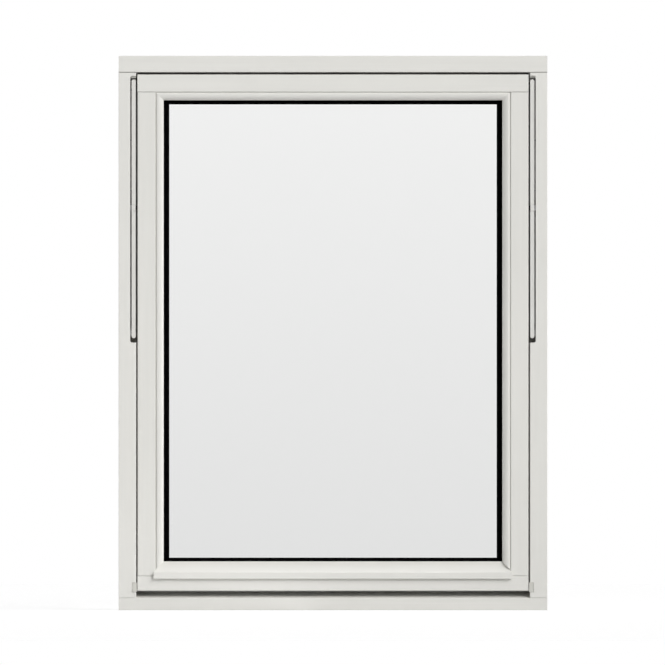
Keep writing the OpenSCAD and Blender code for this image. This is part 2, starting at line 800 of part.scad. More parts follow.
module pane(y) box([-glass_x, y, glass_z0], [glass_x, y + pane_t, glass_z1]);
module outer_pane() color(glass) pane(pane_y);
module inner_pane() color(glass) pane(unit_y - pane_t);

spacer_outer = [glass_x - sealant_w, glass_z0 + sealant_w, glass_z1 - sealant_w];
spacer_inner = [sight_x - band_side, sight_z0 + band_foot, sight_z1 - band_top];
glass_edge = [glass_x, glass_z0, glass_z1];
seal_inner = [sight_x + 0.5, sight_z0 - 0.5, sight_z1 + 0.5];

module edge_spacer() color(dark) glass_ring(pane_y + pane_t, unit_y - pane_t, spacer_outer, spacer_inner);
module edge_sealant() color(dark) glass_ring(pane_y + pane_t, unit_y - pane_t, glass_edge, spacer_outer);
module outer_glazing_seal() color(dark) glass_ring(bead_y, pane_y, spacer_outer, seal_inner);
module inner_glazing_seal() color(dark) glass_ring(unit_y, flange_y, spacer_outer, seal_inner);

block_place = glass_x - 2 * block_l;

module setting_blocks() {
    color(nylon) pair() translate([block_place, 0, 0])
        box([-block_l / 2, pane_y, platform_z], [block_l / 2, unit_y, glass_z0]);
}

// Seal on the sash's inner face (u, y): a flat foot with a round bulb, in four mitred lengths
module seal_section() {
    foot_t = 1.4;
    polygon(rounded(
        [[0, sash_y1], [0, sash_y1 + foot_t], [1.4, sash_y1 + foot_t], [1.4, sash_y1 + seal_h],
         [seal_w - 1.4, sash_y1 + seal_h], [seal_w - 1.4, sash_y1 + foot_t], [seal_w, sash_y1 + foot_t],
         [seal_w, sash_y1]],
        [0, 0.4, 0, 1.8, 1.8, 0, 0.4, 0]));
}

module seal_mitre(outline) bar_y(sash_y1 - 1, stop_y) polygon(outline);

module sash_seal() {
    in_x = seal_x - seal_w;
    in_z0 = seal_z0 + seal_w;
    in_z1 = seal_z1 - seal_w;
    color(dark) {
        pair() intersection() {
            side_run(seal_x, seal_z0, seal_z1) seal_section();
            seal_mitre([[seal_x, seal_z0 + seal_joint], [seal_x, seal_z1 - seal_joint],
                [in_x, in_z1 - seal_joint], [in_x, in_z0 + seal_joint]]);
        }
        intersection() {
            top_run(seal_z1, seal_x) seal_section();
            seal_mitre([[-seal_x, seal_z1], [seal_x, seal_z1], [in_x, in_z1], [-in_x, in_z1]]);
        }
        intersection() {
            foot_run(seal_z0, seal_x) seal_section();
            seal_mitre([[-seal_x, seal_z0], [seal_x, seal_z0], [in_x, in_z0], [-in_x, in_z0]]);
        }
    }
}

module sash_bracket() {
    difference() {
        box([bracket_x, bracket_y0, bracket_z0], [sash_x, bracket_y1, bracket_z1]);
        rod_x(pivot_y, hang_z, bracket_x - 1, sash_x + 1, arm_pin_r + tube_clear);
        rod_x(pivot_y, shoe_z, bracket_x - 1, sash_x + 1, shoe_pin_r + tube_clear);
        bracket_screw_set(screw_clear);
    }
}

module sash_bracket_right() color(zinc) sash_bracket();
module sash_bracket_left() color(zinc) mirrored() sash_bracket();
module bracket_screws() color(zinc) pair() bracket_screw_set();

module bracket_pins() {
    color(zinc) pair() {
        rod_x(pivot_y, hang_z, bracket_x, arm_x1, arm_pin_r);
        rod_x(pivot_y, shoe_z, bracket_x, shoe_x1, shoe_pin_r);
    }
}

module notch_plug() {
    difference() {
        bar_x(rail_x0 + plug_inset, rail_x1) translate([pivot_y, hang_z]) {
            circle(r = plug_half);
            translate([rail_y0 - pivot_y, -plug_half]) square([pivot_y - rail_y0, 2 * plug_half]);
        }
        rod_x(pivot_y, hang_z, rail_x0, rail_x1 + 1, arm_pin_r + tube_clear);
    }
}

module notch_plugs() color(white_metal) pair() notch_plug();

module guide_shoe() {
    difference() {
        bar_x(shoe_x0, shoe_x1) translate([pivot_y, shoe_z]) polygon(rounded(
            [[-shoe_w / 2, -shoe_l / 2], [shoe_w / 2, -shoe_l / 2], [shoe_w / 2, shoe_l / 2],
             [-shoe_w / 2, shoe_l / 2]], shoe_w * 0.3 * [1, 1, 1, 1]));
        rod_x(pivot_y, shoe_z, shoe_x0 - 1, shoe_x1 + 1, shoe_pin_r + pin_clear);
    }
}

module guide_shoe_right() color(nylon) guide_shoe();
module guide_shoe_left() color(nylon) mirrored() guide_shoe();

// Case open at its foot, with bearings for the spindle
module lock_case() {
    color(zinc) difference() {
        box([-case_x, lock_y - case_y, case_z0], [case_x, lock_y + case_y, case_z1]);
        box([-case_x + case_wall, lock_y - case_y + case_wall, case_z0 - 1],
            [case_x - case_wall, lock_y + case_y - case_wall, case_z1 - case_wall]);
        rod_y(0, handle_z, lock_y, lock_y + case_y + 1, spindle_hole_r);
    }
}

module lock_faceplate() {
    color(zinc) difference() {
        box([-faceplate_x, lock_y - faceplate_w / 2, sash_z0],
            [faceplate_x, lock_y + faceplate_w / 2, sash_z0 + faceplate_t]);
        faceplate_screw_set(screw_clear);
    }
}

module faceplate_screws() color(zinc) faceplate_screw_set();

module stadium(w, h) {
    square([w - h, h], center = true);
    for (s = [-1, 1]) translate([s * (w - h) / 2, 0]) circle(r = h / 2);
}

module handle_rosette() {
    color(white_metal) difference() {
        bar_y(sash_y1, sash_y1 + rosette_t) translate([0, handle_z]) stadium(rosette_w, rosette_h);
        rod_y(0, handle_z, sash_y1 - 1, sash_y1 + rosette_t + 1, neck_r + pin_clear);
        rosette_screw_set(screw_clear);
    }
}

module rosette_screws() color(zinc) rosette_screw_set();

// Disc with rounded rims, drawn along Y
module soft_disc(r, t, rim) {
    rotate([-90, 0, 0]) rotate_extrude($fn = 32)
        polygon(rounded([[0, 0], [r, 0], [r, t], [0, t]], rim * [0, 1, 1, 0], 3));
}

module spindle_bar(y0) {
    bar_y(y0, spindle_y1) translate([0, handle_z]) square(spindle_w, center = true);
}

module handle_lever() {
    lever_y = sash_y1 + lever_standoff;
    color(white_metal) difference() {
        union() {
            rod_y(0, handle_z, sash_y1 + 1, lever_y + 2, neck_r);
            hull() {
                translate([0, lever_y, handle_z]) soft_disc(neck_r + 1, lever_t, 3);
                translate([-lever_l, lever_y + 1, handle_z]) soft_disc(lever_tip_r, lever_t - 2, 3);
            }
        }
        spindle_bar(sash_y1);
    }
}

module handle_spindle() color(zinc) spindle_bar(lock_y - case_y + case_wall);

// Outline (x, z) about the pinion's axis, carried through the lock's thickness
module rod_bar() bar_y(lock_y - rod_t / 2, lock_y + rod_t / 2) translate([0, handle_z]) children();

// Involute pinion with a square bore
module lock_pinion() {
    base_r = pinion_r * cos(pressure_angle);
    root_r = pinion_r - tooth_root;
    tip_r = pinion_r + tooth_tip;
    step = 360 / pinion_teeth;
    radii = [for (i = [0:5]) base_r + (tip_r - base_r) * i / 5];
    color(zinc) difference() {
        rod_bar() polygon([
            for (k = [0:pinion_teeth - 1]) each [
                polar(root_r, 90 + k * step - tooth_half(base_r)),
                for (r = radii) polar(r, 90 + k * step - tooth_half(r)),
                for (i = [5:-1:0]) polar(radii[i], 90 + k * step + tooth_half(radii[i])),
                polar(root_r, 90 + k * step + tooth_half(base_r)),
            ]
        ]);
        spindle_bar(lock_y - rod_t);
    }
}

// Outline (x, z) about the pinion's axis of a rod whose rack lies over the pinion:
// leg_line joins the rack and the rod
rack_root = pinion_r + tooth_root;
rack_top = rack_root + rack_back;

function rack_teeth() =
    let (
        half = rack_pitch / 4 - backlash / 2,
        lean = tan(pressure_angle),
        first = ceil(-rack_reach / rack_pitch - 0.1),
        last = floor(mesh_half / rack_pitch - 0.9)
    )
    [for (k = [last:-1:first]) let (x = (k + 0.5) * rack_pitch) each [
        [x + half + tooth_root * lean, rack_root],
        [x + half - tooth_tip * lean, pinion_r - tooth_tip],
        [x - half + tooth_tip * lean, pinion_r - tooth_tip],
        [x - half - tooth_root * lean, rack_root],
    ]];

module rod_outline(leg_line) {
    polygon(concat([[-rack_reach, rack_root], [-rack_reach, rack_top]], leg_line, rack_teeth()));
}

module lock_rod_right() {
    foot = rod_z0 - handle_z;
    head = rod_z1 - handle_z;
    color(zinc) rod_bar() rod_outline(
        [[rod_leg_x1, rack_top], [rod_leg_x1, head], [rod_tip_x, head],
         [rod_tip_x, foot], [rod_leg_x0, foot], [rod_leg_x0, rack_root]]);
}

// The left rod's rack lies under the pinion: the same outline turned over, with its leg on the other side
module lock_rod_left() {
    foot = handle_z - rod_z0;
    head = handle_z - rod_z1;
    color(zinc) rod_bar() rotate(180) rod_outline(
        [[rod_leg_x0, rack_top], [rod_leg_x0, foot], [rod_tip_x, foot],
         [rod_tip_x, head], [rod_leg_x1, head], [rod_leg_x1, rack_root]]);
}

frame_head();
frame_sill();
frame_jamb_left();
frame_jamb_right();
frame_screws();
fixing_caps();
guide_rail_left();
guide_rail_right();
rail_screws();
arm_pivot_pins();
foot_catch_left();
foot_catch_right();
catch_screws();
lock_keep_left();
lock_keep_right();
keep_screws();
swing_arm_left();
swing_arm_right();
sash_top_rail();
sash_bottom_rail();
sash_stile_left();
sash_stile_right();
glazing_bead_top();
glazing_bead_left();
glazing_bead_right();
drip_bead();
outer_pane();
inner_pane();
edge_spacer();
edge_sealant();
outer_glazing_seal();
inner_glazing_seal();
setting_blocks();
sash_seal();
sash_bracket_left();
sash_bracket_right();
bracket_screws();
bracket_pins();
notch_plugs();
lock_case();
lock_faceplate();
faceplate_screws();
handle_rosette();
rosette_screws();
guide_shoe_left();
guide_shoe_right();
handle_lever();
handle_spindle();
lock_pinion();
lock_rod_left();
lock_rod_right();
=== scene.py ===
import json
import math
import bpy
import numpy as np
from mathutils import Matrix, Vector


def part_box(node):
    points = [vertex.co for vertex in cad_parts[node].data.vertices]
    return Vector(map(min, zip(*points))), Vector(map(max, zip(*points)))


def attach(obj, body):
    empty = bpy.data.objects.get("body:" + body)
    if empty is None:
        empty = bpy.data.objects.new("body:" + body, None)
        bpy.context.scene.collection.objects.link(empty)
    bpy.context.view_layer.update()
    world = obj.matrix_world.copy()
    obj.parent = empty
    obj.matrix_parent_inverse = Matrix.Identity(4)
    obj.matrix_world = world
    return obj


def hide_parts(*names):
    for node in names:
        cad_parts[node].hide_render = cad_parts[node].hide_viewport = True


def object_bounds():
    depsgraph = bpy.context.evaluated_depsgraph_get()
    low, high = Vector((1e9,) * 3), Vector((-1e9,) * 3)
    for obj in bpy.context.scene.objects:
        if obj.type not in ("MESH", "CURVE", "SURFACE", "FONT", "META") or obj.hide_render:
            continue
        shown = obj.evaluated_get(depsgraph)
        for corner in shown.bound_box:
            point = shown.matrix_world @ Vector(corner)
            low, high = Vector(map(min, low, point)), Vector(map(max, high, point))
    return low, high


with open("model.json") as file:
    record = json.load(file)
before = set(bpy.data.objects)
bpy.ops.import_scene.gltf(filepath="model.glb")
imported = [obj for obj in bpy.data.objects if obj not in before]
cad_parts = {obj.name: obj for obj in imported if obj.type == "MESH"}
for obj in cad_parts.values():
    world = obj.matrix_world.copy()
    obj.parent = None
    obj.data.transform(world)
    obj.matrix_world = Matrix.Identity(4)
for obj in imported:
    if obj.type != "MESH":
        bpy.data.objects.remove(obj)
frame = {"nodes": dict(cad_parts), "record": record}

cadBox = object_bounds()
nodes = frame["nodes"]
bodyOf = {name: body for body, names in frame["record"]["behaviour"]["bodies"].items() for name in names}
mm = 0.001
print("frame loaded:", len(nodes), "pieces")


# Colours as the eye reads them on a screen, 0 to 255, turned to linear light
def screenColour(r, g, b):
    level = np.array([r, g, b]) / 255.0
    linear = np.where(level <= 0.04045, level / 12.92, ((level + 0.055) / 1.055) ** 2.4)
    return (*linear.tolist(), 1.0)


# Node trees
def setSockets(node, values):
    for socket, value in values.items():
        node.inputs[socket].default_value = value


def addNode(tree, kind, values=None, **settings):
    node = tree.nodes.new(kind)
    for name, value in settings.items():
        setattr(node, name, value)
    setSockets(node, values or {})
    return node


def join(tree, source, target):
    tree.links.new(source, target)


# A socket is fed either a number or another node's output
def feed(tree, value, socket):
    if isinstance(value, (int, float)):
        socket.default_value = value
    else:
        join(tree, value, socket)


def mathNode(tree, operation, *values):
    node = addNode(tree, "ShaderNodeMath", operation=operation)
    for value, socket in zip(values, node.inputs):
        feed(tree, value, socket)
    return node.outputs[0]


def weighedSum(tree, values, shares):
    parts = [mathNode(tree, "MULTIPLY", value, share) for value, share in zip(values, shares)]
    total = parts[0]
    for part in parts[1:]:
        total = mathNode(tree, "ADD", total, part)
    return total


def noiseNode(tree, vector, scale, detail, rough=0.5, twist=0.0):
    values = {"Scale": scale, "Detail": detail, "Roughness": rough, "Distortion": twist}
    node = addNode(tree, "ShaderNodeTexNoise", values)
    join(tree, vector, node.inputs["Vector"])
    return node.outputs["Fac"]


# A value spread from one range over another, held at both ends
def spreadNode(tree, value, low, high, fromLow=0.0, fromHigh=1.0):
    node = addNode(tree, "ShaderNodeMapRange")
    levels = {"Value": value, "From Min": fromLow, "From Max": fromHigh, "To Min": low, "To Max": high}
    for socket, level in levels.items():
        feed(tree, level, node.inputs[socket])
    return node.outputs["Result"]


mixSockets = dict(factor=0, first=6, second=7, result=2)  # a Mix node's colour sockets, by number


def blendColours(tree, factor, first, second):
    node = addNode(tree, "ShaderNodeMix", data_type="RGBA")
    join(tree, factor, node.inputs[mixSockets["factor"]])
    join(tree, first, node.inputs[mixSockets["first"]])
    join(tree, second, node.inputs[mixSockets["second"]])
    return node.outputs[mixSockets["result"]]


# A pattern group reads a place on the piece and gives the finish's colour, roughness and height there
patternInputs = [("Vector", "Vector"), ("Across", "Vector"), ("Tint", "Color"), ("Shade", "Color"),
                 ("Rough Low", "Float"), ("Rough High", "Float")]
patternOutputs = [("Color", "Color"), ("Roughness", "Float"), ("Height", "Float")]


def startPattern(name):
    tree = bpy.data.node_groups.new(name, "ShaderNodeTree")
    for way, sockets in (("INPUT", patternInputs), ("OUTPUT", patternOutputs)):
        for label, kind in sockets:
            tree.interface.new_socket(label, in_out=way, socket_type="NodeSocket" + kind)
    given = addNode(tree, "NodeGroupInput").outputs
    stretched = addNode(tree, "ShaderNodeVectorMath", operation="MULTIPLY")
    join(tree, given["Vector"], stretched.inputs[0])
    join(tree, given["Across"], stretched.inputs[1])
    return tree, given, stretched.outputs[0]


def endPattern(tree, given, pattern, tone, gloss, height):
    end = addNode(tree, "NodeGroupOutput")
    toned = spreadNode(tree, tone, 0.0, 1.0, *pattern["toneRange"])
    rough = spreadNode(tree, gloss, given["Rough Low"], given["Rough High"], *pattern["roughRange"])
    join(tree, blendColours(tree, toned, given["Tint"], given["Shade"]), end.inputs["Color"])
    join(tree, rough, end.inputs["Roughness"])
    join(tree, height, end.inputs["Height"])
    return tree


# Paint on timber: brush lines along the board, grain that shows through, slow clouds and the dried skin
paintPattern = dict(brush=dict(scale=6.0, detail=3.0, rough=0.6),
                    grain=dict(scale=0.9, detail=4.0, rough=0.55, twist=0.7),
                    cloud=dict(scale=3.1, detail=2.0), skin=dict(scale=620.0, detail=1.0),
                    toneShares=(0.55, 0.45), toneRange=(0.38, 0.66), roughRange=(0.3, 0.7),
                    heightShares=(0.5, 0.35, 0.15))


def paintFilmGroup():
    tree, given, along = startPattern("paintFilm")
    brush = noiseNode(tree, along, **paintPattern["brush"])
    grain = noiseNode(tree, along, **paintPattern["grain"])
    cloud = noiseNode(tree, given["Vector"], **paintPattern["cloud"])
    skin = noiseNode(tree, given["Vector"], **paintPattern["skin"])
    tone = weighedSum(tree, (grain, cloud), paintPattern["toneShares"])
    height = weighedSum(tree, (brush, grain, skin), paintPattern["heightShares"])
    return endPattern(tree, given, paintPattern, tone, brush, height)


# Metal, lacquer, nylon and rubber: fine specks, drawn out along one way where the metal is rolled
speckPattern = dict(speck=dict(scale=1.0, detail=3.0, rough=0.6), cloud=dict(scale=24.0, detail=2.0),
                    toneShares=(0.6, 0.4), toneRange=(0.36, 0.66), roughRange=(0.3, 0.7))


def fineSpeckGroup():
    tree, given, along = startPattern("fineSpeck")
    speck = noiseNode(tree, along, **speckPattern["speck"])
    cloud = noiseNode(tree, given["Vector"], **speckPattern["cloud"])
    tone = weighedSum(tree, (speck, cloud), speckPattern["toneShares"])
    return endPattern(tree, given, speckPattern, tone, tone, speck)


paintFilm = paintFilmGroup()
fineSpeck = fineSpeckGroup()

# A finish is one dictionary: its group, two colours, the pattern's stretch and the shader's own values
paint = dict(group=paintFilm, tint=(226, 225, 220), shade=(222, 221, 216), rough=(0.56, 0.68), bump=0.1,
             depth=0.35 * mm, spec=0.3)
finishes = {
    "paintAlongX": dict(paint, across=(4, 90, 90)),
    "paintAlongZ": dict(paint, across=(90, 90, 4)),
    "whiteLacquer": dict(group=fineSpeck, tint=(222, 221, 217), shade=(213, 212, 207), rough=(0.42, 0.54),
                         across=(900, 900, 900), bump=0.06, depth=0.15 * mm, coat=0.08, spec=0.4),
    "zincPlate": dict(group=fineSpeck, tint=(186, 189, 192), shade=(150, 152, 150), rough=(0.26, 0.42),
                      across=(700, 700, 60), bump=0.08, depth=0.1 * mm, metal=1.0),
    "burnishedSteel": dict(group=fineSpeck, tint=(78, 78, 76), shade=(58, 58, 57), rough=(0.34, 0.5),
                           across=(700, 700, 700), bump=0.06, depth=0.1 * mm, metal=1.0),
    "paleNylon": dict(group=fineSpeck, tint=(207, 206, 199), shade=(196, 195, 188), rough=(0.42, 0.58),
                      across=(700, 700, 700), bump=0.06, depth=0.12 * mm),
    "blackRubber": dict(group=fineSpeck, tint=(17, 17, 17), shade=(10, 10, 10), rough=(0.6, 0.8),
                        across=(800, 800, 800), bump=0.1, depth=0.12 * mm, spec=0.15),
    "blackSpacer": dict(group=fineSpeck, tint=(7, 7, 7), shade=(4, 4, 4), rough=(0.7, 0.85),
                        across=(900, 900, 900), bump=0.08, depth=0.1 * mm, spec=0.0),
}


def newMaterial(name):
    material = bpy.data.materials.new(name)
    material.use_nodes = True
    return material, material.node_tree


def makeFinish(name, finish):
    material, tree = newMaterial(name)
    shader = tree.nodes["Principled BSDF"]
    place = addNode(tree, "ShaderNodeTexCoord")
    roughLow, roughHigh = finish["rough"]
    values = {"Across": finish["across"], "Tint": screenColour(*finish["tint"]),
              "Shade": screenColour(*finish["shade"]), "Rough Low": roughLow, "Rough High": roughHigh}
    pattern = addNode(tree, "ShaderNodeGroup", values, node_tree=finish["group"])
    bump = addNode(tree, "ShaderNodeBump", {"Strength": finish["bump"], "Distance": finish["depth"]})
    join(tree, place.outputs["Object"], pattern.inputs["Vector"])
    join(tree, pattern.outputs["Color"], shader.inputs["Base Color"])
    join(tree, pattern.outputs["Roughness"], shader.inputs["Roughness"])
    join(tree, pattern.outputs["Height"], bump.inputs["Height"])
    join(tree, bump.outputs["Normal"], shader.inputs["Normal"])
    setSockets(shader, {"Metallic": finish.get("metal", 0.0), "Specular IOR Level": finish.get("spec", 0.5),
                        "Coat Weight": finish.get("coat", 0.0)})
    return material


# Clear float glass with a faint wave in its face
glassLook = dict(colour=(0.965, 0.967, 0.965, 1.0), ior=1.5, wave=dict(scale=5.0, detail=1.0), bump=0.02,
                 depth=0.02 * mm)


def makeGlass():
    material, tree = newMaterial("floatGlass")
    shader = tree.nodes["Principled BSDF"]
    place = addNode(tree, "ShaderNodeTexCoord")
    wave = noiseNode(tree, place.outputs["Object"], **glassLook["wave"])
    bump = addNode(tree, "ShaderNodeBump", {"Strength": glassLook["bump"], "Distance": glassLook["depth"]})
    join(tree, wave, bump.inputs["Height"])
    join(tree, bump.outputs["Normal"], shader.inputs["Normal"])
    setSockets(shader, {"Base Color": glassLook["colour"], "Roughness": 0.0, "IOR": glassLook["ior"],
                        "Transmission Weight": 1.0})
    return material


looks = {name: makeFinish(name, finish) for name, finish in finishes.items()}
looks["floatGlass"] = makeGlass()
print("finishes made:", len(looks))


# Both hands of the pieces that come left and right
def bothHands(*names):
    return [name + hand for name in names for hand in ("_left", "_right")]


# Which finish each piece of the frame wears
screwSets = ["frame_screws", "rail_screws", "catch_screws", "keep_screws", "bracket_screws",
             "faceplate_screws", "rosette_screws"]
worn = {
    "paintAlongX": ["frame_head", "frame_sill", "sash_top_rail", "sash_bottom_rail", "glazing_bead_top",
                    "drip_bead", "fixing_caps"],
    "paintAlongZ": bothHands("frame_jamb", "sash_stile", "glazing_bead"),
    "whiteLacquer": bothHands("guide_rail") + ["notch_plugs", "handle_rosette", "handle_lever"],
    "zincPlate": bothHands("lock_keep", "swing_arm", "sash_bracket", "lock_rod") + screwSets
                 + ["lock_case", "lock_faceplate", "handle_spindle", "lock_pinion"],
    "burnishedSteel": ["arm_pivot_pins", "bracket_pins"],
    "paleNylon": bothHands("foot_catch", "guide_shoe") + ["setting_blocks"],
    "blackRubber": ["edge_sealant", "outer_glazing_seal", "inner_glazing_seal", "sash_seal"],
    "blackSpacer": ["edge_spacer"],
    "floatGlass": ["outer_pane", "inner_pane"],
}


def dress(piece, look):
    piece.data.materials.clear()
    piece.data.materials.append(looks[look])


for look, names in worn.items():
    for name in names:
        dress(nodes[name], look)
for name in worn["floatGlass"]:
    nodes[name].visible_shadow = False  # daylight goes through the panes
print("pieces dressed:", sum(len(names) for names in worn.values()))

# Edges: corners this close are one, edges that bend less are smooth, edges that bend more are bevelled
edgeLook = dict(weld=0.001 * mm, smoothAngle=35.0, bevelAngle=50.0, segments=2, flatWeight=90)


def weldCorners(piece):
    weld = piece.modifiers.new("weld", "WELD")
    weld.merge_threshold = edgeLook["weld"]


# The black edge pieces are stuck to the glass, so their faces sit a hair inside it
bond = dict(depth=0.05 * mm,
            names=["edge_spacer", "edge_sealant", "outer_glazing_seal", "inner_glazing_seal"])
for name in bond["names"]:
    weldCorners(nodes[name])
    grow = nodes[name].modifiers.new("bond", "DISPLACE")
    grow.strength = bond["depth"]
    grow.mid_level = 0.0


# Smooth faces: doubled corners are welded, edges sharper than the angle stay crisp
def smoothGroup():
    tree = bpy.data.node_groups.new("smoothFaces", "GeometryNodeTree")
    for way in ("INPUT", "OUTPUT"):
        tree.interface.new_socket("Geometry", in_out=way, socket_type="NodeSocketGeometry")
    start = addNode(tree, "NodeGroupInput")
    end = addNode(tree, "NodeGroupOutput")
    plain = addNode(tree, "GeometryNodeRemoveAttribute", {"Name": "custom_normal"})
    weld = addNode(tree, "GeometryNodeMergeByDistance", {"Distance": edgeLook["weld"]})
    smooth = addNode(tree, "GeometryNodeSetShadeSmooth", {"Shade Smooth": True})
    crisp = addNode(tree, "GeometryNodeSetShadeSmooth", {"Shade Smooth": False}, domain="EDGE")
    bend = addNode(tree, "GeometryNodeInputMeshEdgeAngle").outputs["Unsigned Angle"]
    sharp = mathNode(tree, "GREATER_THAN", bend, math.radians(edgeLook["smoothAngle"]))
    join(tree, start.outputs[0], plain.inputs["Geometry"])
    join(tree, plain.outputs[0], weld.inputs["Geometry"])
    join(tree, weld.outputs[0], smooth.inputs["Geometry"])
    join(tree, smooth.outputs[0], crisp.inputs["Geometry"])
    join(tree, sharp, crisp.inputs["Selection"])
    join(tree, crisp.outputs[0], end.inputs[0])
    return tree


smoothFaces = smoothGroup()


def addSmoothing(piece):
    faces = piece.modifiers.new("smoothFaces", "NODES")
    faces.node_group = smoothFaces


# A bevel of some width, or none, then smooth faces on which the big ones stay flat
def soften(piece, width):
    if width:
        weldCorners(piece)
        bevel = piece.modifiers.new("edge", "BEVEL")
        bevel.width = width
        bevel.segments = edgeLook["segments"]
        bevel.limit_method = "ANGLE"
        bevel.angle_limit = math.radians(edgeLook["bevelAngle"])
    addSmoothing(piece)
    flat = piece.modifiers.new("flatFaces", "WEIGHTED_NORMAL")
    flat.keep_sharp = True
    flat.weight = edgeLook["flatWeight"]


# Widths of the bevels: timber is rounded in its own section, metal and nylon have fine edges,
# and the rosette has a soft one
bevels = {
    0.0: worn["paintAlongX"] + worn["paintAlongZ"] + ["sash_seal", "lock_pinion"],
    0.25 * mm: bothHands("swing_arm", "sash_bracket", "lock_keep") + ["lock_faceplate", "notch_plugs"],
    0.4 * mm: bothHands("guide_rail", "guide_shoe", "foot_catch"),
    1.2 * mm: ["handle_rosette"],
}
for width, names in bevels.items():
    for name in names:
        soften(nodes[name], width)
print("edges softened:", sum(len(names) for names in bevels.values()), "pieces")


# A shell is a grid of points, closed round each row, with a face over both ends, all facing outwards
def shellFaces(grid, firstPoint):
    count, around = grid.shape[:2]
    index = np.arange(count * around).reshape(count, around)
    beside = np.roll(index, -1, axis=1)
    walls = np.stack([index[:-1], index[1:], beside[1:], beside[:-1]], axis=-1).reshape(-1, 4)
    ends = np.stack([index[0], index[-1][::-1]])
    points = grid.reshape(-1, 3)
    corners = points[walls]
    across = np.cross(corners[:, 2] - corners[:, 0], corners[:, 3] - corners[:, 1])
    outward = np.sum(across * (corners.mean(axis=1) - points.mean(axis=0)))
    way = 1 if outward > 0 else -1
    return (walls[:, ::way] + firstPoint).tolist() + (ends[:, ::way] + firstPoint).tolist()


def makePiece(name, grids, look, node):
    faces = []
    firstPoint = 0
    for grid in grids:
        faces += shellFaces(grid, firstPoint)
        firstPoint += grid.shape[0] * grid.shape[1]
    points = np.concatenate([grid.reshape(-1, 3) for grid in grids])
    mesh = bpy.data.meshes.new(name)
    mesh.from_pydata(points.tolist(), [], faces)
    mesh.shade_smooth()
    mesh.materials.append(looks[look])
    piece = bpy.data.objects.new(name, mesh)
    bpy.context.scene.collection.objects.link(piece)
    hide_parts(node)
    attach(piece, bodyOf[node])
    addSmoothing(piece)


# Loose parts of a CAD piece: corners joined by edges, directly or through others, belong together
cornerDigits = 6  # corners that agree to a thousandth of a millimetre are one


def looseParts(piece):
    mesh = piece.data
    points = np.empty(len(mesh.vertices) * 3)
    mesh.vertices.foreach_get("co", points)
    edges = np.empty(len(mesh.edges) * 2, dtype=int)
    mesh.edges.foreach_get("vertices", edges)
    spots, same = np.unique(np.round(points.reshape(-1, 3), cornerDigits), axis=0, return_inverse=True)
    ends = same.ravel()[edges.reshape(-1, 2)]
    label = np.arange(len(spots))
    before = label + 1
    while (label != before).any():
        before = label.copy()
        low = np.minimum(label[ends[:, 0]], label[ends[:, 1]])
        np.minimum.at(label, ends[:, 0], low)
        np.minimum.at(label, ends[:, 1], low)
    return [spots[label == mark] for mark in np.unique(label)]


# Countersunk screw: star recess whose radius swings six times round, flat rim, cone to the shank,
# then a thread whose radius follows a wave that climbs one pitch each turn, and a taper at the tip.
# Lengths and radii are in shank radii, and the star's depth is a share of the recess's radius
screwLook = dict(angles=30, headRadius=2.0, starPoints=6, starDepth=0.13, threadFrom=1.05, pitch=0.9,
                 rowsPerPitch=3, crest=0.99, threadDepth=0.22, tip=1.8, leastTaper=0.06, pointRadius=0.04)
# Head profile from the recess floor outwards: depth in shank radii, radius in head radii, share of the star
screwHead = np.array([(0.9, 0.05, 0.0), (0.9, 0.425, 1.0), (0.15, 0.5, 1.0), (0.0, 0.53, 0.5),
                      (0.0, 0.93, 0.0), (0.04, 0.975, 0.0), (0.96, 0.515, 0.0)])


def screwGrid(part):
    lo = part.min(axis=0)
    hi = part.max(axis=0)
    axis = int(np.argmax(hi - lo))
    cross = [k for k in range(3) if k != axis]
    middle = (lo + hi) / 2
    reach = np.linalg.norm(part[:, cross] - middle[cross], axis=1)
    near = part[:, axis] < middle[axis]
    way = 1.0 if reach[near].max() > reach[~near].max() else -1.0
    headEnd = lo[axis] if way > 0 else hi[axis]
    headR = reach.max()
    shankR = headR / screwLook["headRadius"]
    length = hi[axis] - lo[axis]
    turn = np.linspace(0, 2 * math.pi, screwLook["angles"], endpoint=False)[None, :]
    star = 1 + screwLook["starDepth"] * np.cos(screwLook["starPoints"] * turn) * screwHead[:, 2:3]
    head = headR * screwHead[:, 1:2] * star
    pitch = screwLook["pitch"] * shankR
    down = np.arange(screwLook["threadFrom"] * shankR, length, pitch / screwLook["rowsPerPitch"])[:, None]
    wave = 0.5 + 0.5 * np.cos(2 * math.pi * down / pitch - turn)
    taper = np.clip((length - down) / (screwLook["tip"] * shankR), screwLook["leastTaper"], 1.0)
    thread = shankR * taper * (screwLook["crest"] - screwLook["threadDepth"] * wave)
    point = np.full_like(turn, screwLook["pointRadius"] * shankR)
    radius = np.concatenate([head, thread, point])
    depth = np.concatenate([shankR * screwHead[:, :1], down, [[length]]])
    grid = np.empty((*radius.shape, 3))
    grid[..., axis] = headEnd + way * depth
    grid[..., cross[0]] = middle[cross[0]] + radius * np.cos(turn)
    grid[..., cross[1]] = middle[cross[1]] + radius * np.sin(turn)
    return grid


for name in screwSets:
    grids = [screwGrid(part) for part in looseParts(nodes[name])]
    makePiece(name.replace("screws", "screw_set"), grids, "zincPlate", name)
    print(name, "made again:", len(grids), "screws")

# Lever: a bar along X whose section is a squared ellipse, thinner towards the tip, with both ends round.
# Its rows follow a cosine from end to end, so that they lie closer together at the round ends
leverLook = dict(rows=72, around=40, power=3.0, tip=0.7, thick=6.0 * mm, tipThick=5.0 * mm, endAngle=0.05)
# Its neck is a turned profile about the spindle: millimetres from the sash, radius as a share of the bar's
leverNeck = np.array([(0, 0.9), (9, 0.9), (14, 0.86), (20, 0.83), (26, 0.84), (31, 0.89), (34, 0.95),
                      (39, 0.95)])


